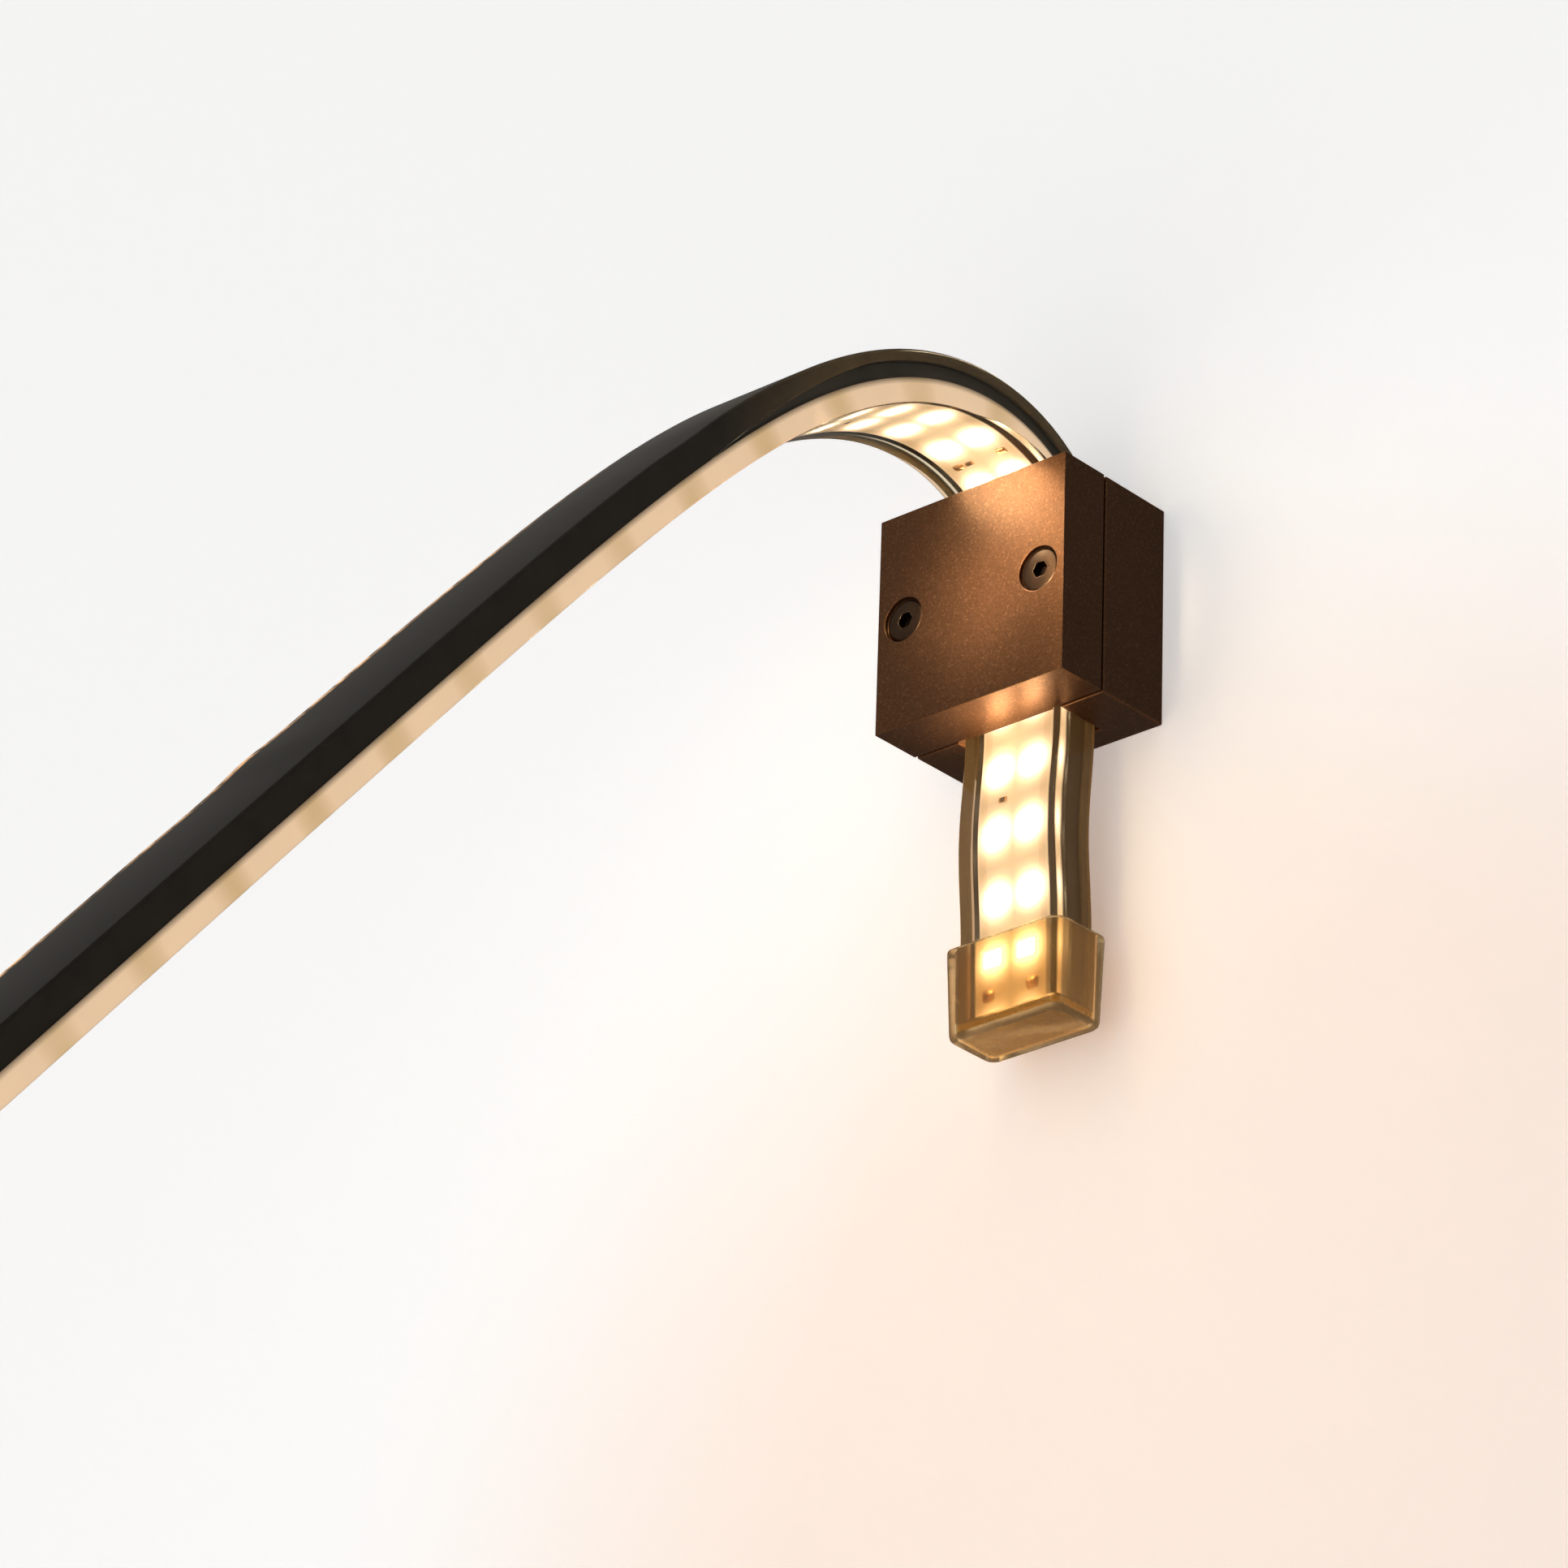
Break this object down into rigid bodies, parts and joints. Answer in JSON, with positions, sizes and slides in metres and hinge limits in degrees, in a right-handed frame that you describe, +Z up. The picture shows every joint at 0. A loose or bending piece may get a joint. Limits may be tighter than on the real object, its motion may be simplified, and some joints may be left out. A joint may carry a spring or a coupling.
{
  "type": "picture light",
  "caption": "Wall light: a flat clear flexible LED strip held in a screwed two-part block, arching up and out from the wall, with push-on caps on its ends.",
  "frame": {"origin": "centre of the clamp block's flat rear face, on the wall plane", "axes": "+X right along the wall as the viewer faces it, +Y into the wall, +Z up"},
  "size_m": [0.03, 0.2058, 0.1819],
  "materials": {
    "anodised_bronze": "fine bead-blasted, dark bronze anodised",
    "screw_bronze": "smooth, bronze-plated",
    "clear_pvc": "clear, slightly yellowed, glossy",
    "black_pvc": "matt black",
    "circuit_white": "white solder mask, lit warm",
    "copper": "bare stranded copper",
    "solder": "bright solder, warm lit",
    "sealant": "clear yellow cement",
    "carrier_plastic": "moulded, off-white",
    "brass": "bright stamped",
    "steel": "zinc-plated"
  },
  "bodies": {
    "fixture": {"wall_block": "anodised_bronze", "contact_carrier": "carrier_plastic", "contact_left": "brass", "contact_right": "brass", "strip_jacket": "clear_pvc", "strip_core": "black_pvc", "led_circuit_ribbon": "circuit_white", "bus_wire_left": "copper", "bus_wire_right": "copper", "solder_jumper_left": "solder", "solder_jumper_right": "solder"},
    "front_plate": {"front_plate": "anodised_bronze"},
    "clamp_screw_left": {"clamp_screw_left": "screw_bronze"},
    "clamp_screw_right": {"clamp_screw_right": "screw_bronze"},
    "tail_cap": {"tail_cap": "clear_pvc", "tail_sealant": "sealant"},
    "outer_cap": {"outer_cap": "clear_pvc", "outer_sealant": "sealant"},
    "terminal_screw_left": {"terminal_screw_left": "steel"},
    "terminal_screw_right": {"terminal_screw_right": "steel"}
  },
  "joints": [
    {"name": "plate_release", "type": "slide", "parent": "fixture", "child": "front_plate", "axis": [0, -1, 0], "range_m": [0, 0.006]},
    {"name": "left_screw_turn", "type": "hinge", "parent": "front_plate", "child": "clamp_screw_left", "pos_m": [-0.0109, -0.0196, 0], "axis": [0, -1, 0], "range_deg": [0, 4320.1]},
    {"name": "right_screw_turn", "type": "hinge", "parent": "front_plate", "child": "clamp_screw_right", "pos_m": [0.0109, -0.0196, 0], "axis": [0, -1, 0], "range_deg": [0, 4320.1]},
    {"name": "tail_cap_pull", "type": "slide", "parent": "fixture", "child": "tail_cap", "axis": [0, 0, -1], "range_m": [0, 0.014]},
    {"name": "outer_cap_pull", "type": "slide", "parent": "fixture", "child": "outer_cap", "axis": [0, -0.6508, -0.7592], "range_m": [0, 0.014]},
    {"name": "left_terminal_turn", "type": "hinge", "parent": "fixture", "child": "terminal_screw_left", "pos_m": [-0.0053, -0.001, -0.0054], "axis": [0, 1, 0], "range_deg": [0, 360]},
    {"name": "right_terminal_turn", "type": "hinge", "parent": "fixture", "child": "terminal_screw_right", "pos_m": [0.0053, -0.001, -0.0054], "axis": [0, 1, 0], "range_deg": [0, 360]}
  ],
  "couplings": [
    {"joint": "left_screw_turn", "follows": "plate_release", "rad_per_m": 12566},
    {"joint": "right_screw_turn", "follows": "plate_release", "rad_per_m": 12566}
  ]
}
